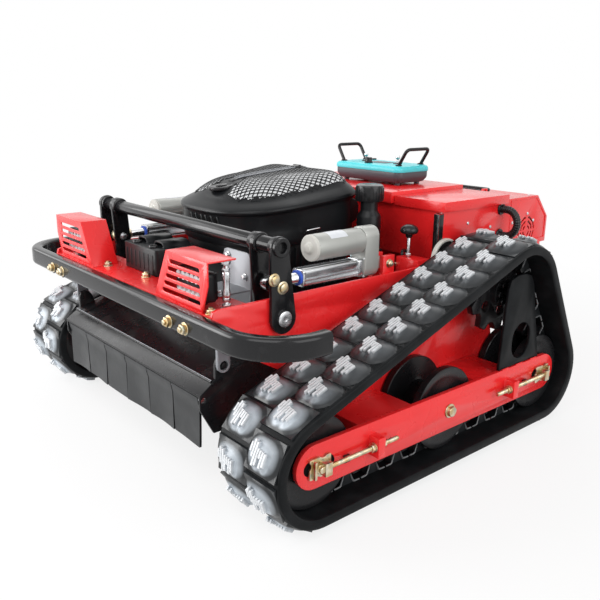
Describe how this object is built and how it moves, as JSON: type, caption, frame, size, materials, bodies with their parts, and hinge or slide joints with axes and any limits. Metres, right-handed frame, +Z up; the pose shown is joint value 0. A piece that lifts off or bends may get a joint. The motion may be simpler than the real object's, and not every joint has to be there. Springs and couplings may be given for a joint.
{
  "type": "remote control slope mower",
  "caption": "Tracked remote-controlled slope mower with a lifting cutting deck, engine, front bumper, control box and handheld remote.",
  "frame": {"origin": "on the ground, under the middle of the machine's bounding box", "axes": "+Z up, the front with the bumper faces -Y, the right-hand track is on +X"},
  "size_m": [1.0826, 1.084, 0.63],
  "materials": {
    "red_paint": "gloss",
    "black_paint": "satin",
    "grey_sheet": "matt",
    "belt_rubber": "worn satin",
    "flap_rubber": "matt",
    "zinc_plate": "yellow passivated",
    "bright_steel": "satin",
    "chromed_rod": "polished",
    "cast_silver": "as cast",
    "black_plastic": "satin",
    "remote_grey": "satin",
    "remote_cyan": "satin"
  },
  "bodies": {
    "chassis": {"hull": "red_paint", "bumper": "black_paint", "lamp_guard_right": "red_paint", "lamp_guard_left": "red_paint", "work_lamp_right": "black_plastic", "work_lamp_left": "black_plastic", "guard_stay": "bright_steel", "track_frame_right": "red_paint", "track_frame_left": "red_paint", "sprocket_guard_right": "black_paint", "sprocket_guard_left": "black_paint", "belt_right": "belt_rubber", "belt_left": "belt_rubber", "drive_motor_right": "cast_silver", "drive_motor_left": "cast_silver", "front_box": "black_plastic", "shield_plate": "grey_sheet", "control_box": "red_paint", "side_cover": "black_plastic", "cable_hose": "black_plastic"},
    "lift": {"lift_frame": "black_paint"},
    "link_right": {"deck_link_right": "bright_steel"},
    "link_left": {"deck_link_left": "bright_steel"},
    "actuator_right": {"actuator_housing_right": "cast_silver", "actuator_motor_right": "cast_silver"},
    "actuator_left": {"actuator_housing_left": "cast_silver", "actuator_motor_left": "cast_silver"},
    "rod_right": {"actuator_rod_right": "chromed_rod"},
    "rod_left": {"actuator_rod_left": "chromed_rod"},
    "deck": {"deck_shell": "black_paint", "engine_block": "black_plastic", "engine_cover": "black_plastic", "fuel_filler": "black_plastic", "muffler": "bright_steel"},
    "flaps": {"deck_flaps": "flap_rubber"},
    "cutter": {"blade": "bright_steel", "crankshaft": "bright_steel"},
    "cap": {"fuel_cap": "black_plastic"},
    "front_tension_right": {"front_tensioner_right": "zinc_plate"},
    "front_tension_left": {"front_tensioner_left": "zinc_plate"},
    "rear_tension_right": {"rear_tensioner_right": "zinc_plate"},
    "rear_tension_left": {"rear_tensioner_left": "zinc_plate"},
    "front_wheel_right": {"front_roller_right": "black_paint"},
    "front_wheel_left": {"front_roller_left": "black_paint"},
    "middle_wheel_right": {"middle_roller_right": "black_paint"},
    "middle_wheel_left": {"middle_roller_left": "black_paint"},
    "rear_wheel_right": {"rear_roller_right": "black_paint"},
    "rear_wheel_left": {"rear_roller_left": "black_paint"},
    "drive_right": {"sprocket_right": "black_paint"},
    "drive_left": {"sprocket_left": "black_paint"},
    "lid": {"control_lid": "red_paint"},
    "handle": {"top_handle": "black_paint"},
    "choke": {"choke_knob": "black_plastic"},
    "remote": {"remote_base": "remote_grey", "remote_top": "remote_cyan", "remote_loop_right": "black_paint", "remote_loop_left": "black_paint"},
    "stick_right": {"joystick_right": "bright_steel"},
    "stick_left": {"joystick_left": "bright_steel"},
    "knob": {"remote_knob": "black_plastic"}
  },
  "joints": [
    {"name": "lift_hinge", "type": "hinge", "parent": "chassis", "child": "lift", "pos_m": [0, -0.359, 0.347], "axis": [1, 0, 0], "range_deg": [-8, 22]},
    {"name": "link_hinge_right", "type": "hinge", "parent": "lift", "child": "link_right", "pos_m": [0.31075, -0.469, 0.337], "axis": [1, 0, 0], "range_deg": [-31, 12]},
    {"name": "link_hinge_left", "type": "hinge", "parent": "lift", "child": "link_left", "pos_m": [-0.31075, -0.469, 0.337], "axis": [1, 0, 0], "range_deg": [-31, 12]},
    {"name": "actuator_tilt_right", "type": "hinge", "parent": "chassis", "child": "actuator_right", "pos_m": [0.312, -0.054, 0.408], "axis": [1, 0, 0], "range_deg": [-0.3, 0.8]},
    {"name": "actuator_tilt_left", "type": "hinge", "parent": "chassis", "child": "actuator_left", "pos_m": [-0.312, -0.054, 0.408], "axis": [1, 0, 0], "range_deg": [-0.3, 0.8]},
    {"name": "rod_slide_right", "type": "slide", "parent": "actuator_right", "child": "rod_right", "axis": [0, -1, 0], "range_m": [-0.009, 0.024]},
    {"name": "rod_slide_left", "type": "slide", "parent": "actuator_left", "child": "rod_left", "axis": [0, -1, 0], "range_m": [-0.009, 0.024]},
    {"name": "deck_hinge", "type": "hinge", "parent": "chassis", "child": "deck", "pos_m": [0, 0.146, 0.235], "axis": [1, 0, 0], "range_deg": [-1.4, 3.8]},
    {"name": "flap_hinge", "type": "hinge", "parent": "deck", "child": "flaps", "pos_m": [0, -0.51, 0.204], "axis": [1, 0, 0], "range_deg": [-60, 35]},
    {"name": "blade_spin", "type": "hinge", "parent": "deck", "child": "cutter", "pos_m": [-0.008, -0.16, 0.2], "axis": [0, 0, 1], "continuous": true},
    {"name": "fuel_cap_turn", "type": "hinge", "parent": "deck", "child": "cap", "pos_m": [0.206, 0.012, 0.55], "axis": [0, 0, 1], "range_deg": [0, 90]},
    {"name": "front_tension_slide_right", "type": "slide", "parent": "chassis", "child": "front_tension_right", "axis": [0, 1, 0], "range_m": [0, 0.012]},
    {"name": "front_tension_slide_left", "type": "slide", "parent": "chassis", "child": "front_tension_left", "axis": [0, 1, 0], "range_m": [0, 0.012]},
    {"name": "rear_tension_slide_right", "type": "slide", "parent": "chassis", "child": "rear_tension_right", "axis": [0, -1, 0], "range_m": [0, 0.012]},
    {"name": "rear_tension_slide_left", "type": "slide", "parent": "chassis", "child": "rear_tension_left", "axis": [0, -1, 0], "range_m": [0, 0.012]},
    {"name": "drive_spin_right", "type": "hinge", "parent": "chassis", "child": "drive_right", "pos_m": [0.451, 0.174, 0.335], "axis": [1, 0, 0], "continuous": true},
    {"name": "drive_spin_left", "type": "hinge", "parent": "chassis", "child": "drive_left", "pos_m": [-0.451, 0.174, 0.335], "axis": [1, 0, 0], "continuous": true},
    {"name": "front_roller_spin_right", "type": "hinge", "parent": "front_tension_right", "child": "front_wheel_right", "pos_m": [0.451, -0.41, 0.126], "axis": [1, 0, 0], "continuous": true},
    {"name": "front_roller_spin_left", "type": "hinge", "parent": "front_tension_left", "child": "front_wheel_left", "pos_m": [-0.451, -0.41, 0.126], "axis": [1, 0, 0], "continuous": true},
    {"name": "middle_roller_spin_right", "type": "hinge", "parent": "chassis", "child": "middle_wheel_right", "pos_m": [0.451, -0.046, 0.126], "axis": [1, 0, 0], "continuous": true},
    {"name": "middle_roller_spin_left", "type": "hinge", "parent": "chassis", "child": "middle_wheel_left", "pos_m": [-0.451, -0.046, 0.126], "axis": [1, 0, 0], "continuous": true},
    {"name": "rear_roller_spin_right", "type": "hinge", "parent": "rear_tension_right", "child": "rear_wheel_right", "pos_m": [0.451, 0.292, 0.126], "axis": [1, 0, 0], "continuous": true},
    {"name": "rear_roller_spin_left", "type": "hinge", "parent": "rear_tension_left", "child": "rear_wheel_left", "pos_m": [-0.451, 0.292, 0.126], "axis": [1, 0, 0], "continuous": true},
    {"name": "lid_hinge", "type": "hinge", "parent": "chassis", "child": "lid", "pos_m": [0.272, 0.3573, 0.5186], "axis": [1, 0, 0], "range_deg": [-100, 0]},
    {"name": "handle_fold", "type": "hinge", "parent": "chassis", "child": "handle", "pos_m": [0.179, 0.408, 0.519], "axis": [1, 0, 0], "range_deg": [0, 90]},
    {"name": "choke_pull", "type": "slide", "parent": "chassis", "child": "choke", "axis": [0, 0, 1], "range_m": [0, 0.012]},
    {"name": "remote_lift_off", "type": "slide", "parent": "chassis", "child": "remote", "axis": [0, 0, 1], "range_m": [0, 0.15]},
    {"name": "stick_tilt_right", "type": "hinge", "parent": "remote", "child": "stick_right", "pos_m": [0.07, 0.253, 0.58], "axis": [1, 0, 0], "range_deg": [-18, 18], "stiffness_Nm_per_rad": 0.05},
    {"name": "stick_tilt_left", "type": "hinge", "parent": "remote", "child": "stick_left", "pos_m": [-0.046, 0.253, 0.58], "axis": [0, 1, 0], "range_deg": [-18, 18], "stiffness_Nm_per_rad": 0.05},
    {"name": "remote_knob_turn", "type": "hinge", "parent": "remote", "child": "knob", "pos_m": [0.002, 0.214, 0.59], "axis": [0, 0, 1], "range_deg": [-135, 135]}
  ],
  "couplings": [
    {"joint": "link_hinge_right", "follows": "lift_hinge", "ratio": -1.38},
    {"joint": "link_hinge_left", "follows": "lift_hinge", "ratio": -1.38},
    {"joint": "actuator_tilt_right", "follows": "lift_hinge", "ratio": 0.036},
    {"joint": "actuator_tilt_left", "follows": "lift_hinge", "ratio": 0.036},
    {"joint": "rod_slide_right", "follows": "lift_hinge", "m_per_rad": 0.060734},
    {"joint": "rod_slide_left", "follows": "lift_hinge", "m_per_rad": 0.060734},
    {"joint": "deck_hinge", "follows": "lift_hinge", "ratio": 0.172},
    {"joint": "front_roller_spin_right", "follows": "drive_spin_right", "ratio": 1.0444},
    {"joint": "middle_roller_spin_right", "follows": "drive_spin_right", "ratio": 1.0444},
    {"joint": "rear_roller_spin_right", "follows": "drive_spin_right", "ratio": 1.0444},
    {"joint": "front_roller_spin_left", "follows": "drive_spin_left", "ratio": 1.0444},
    {"joint": "middle_roller_spin_left", "follows": "drive_spin_left", "ratio": 1.0444},
    {"joint": "rear_roller_spin_left", "follows": "drive_spin_left", "ratio": 1.0444}
  ]
}
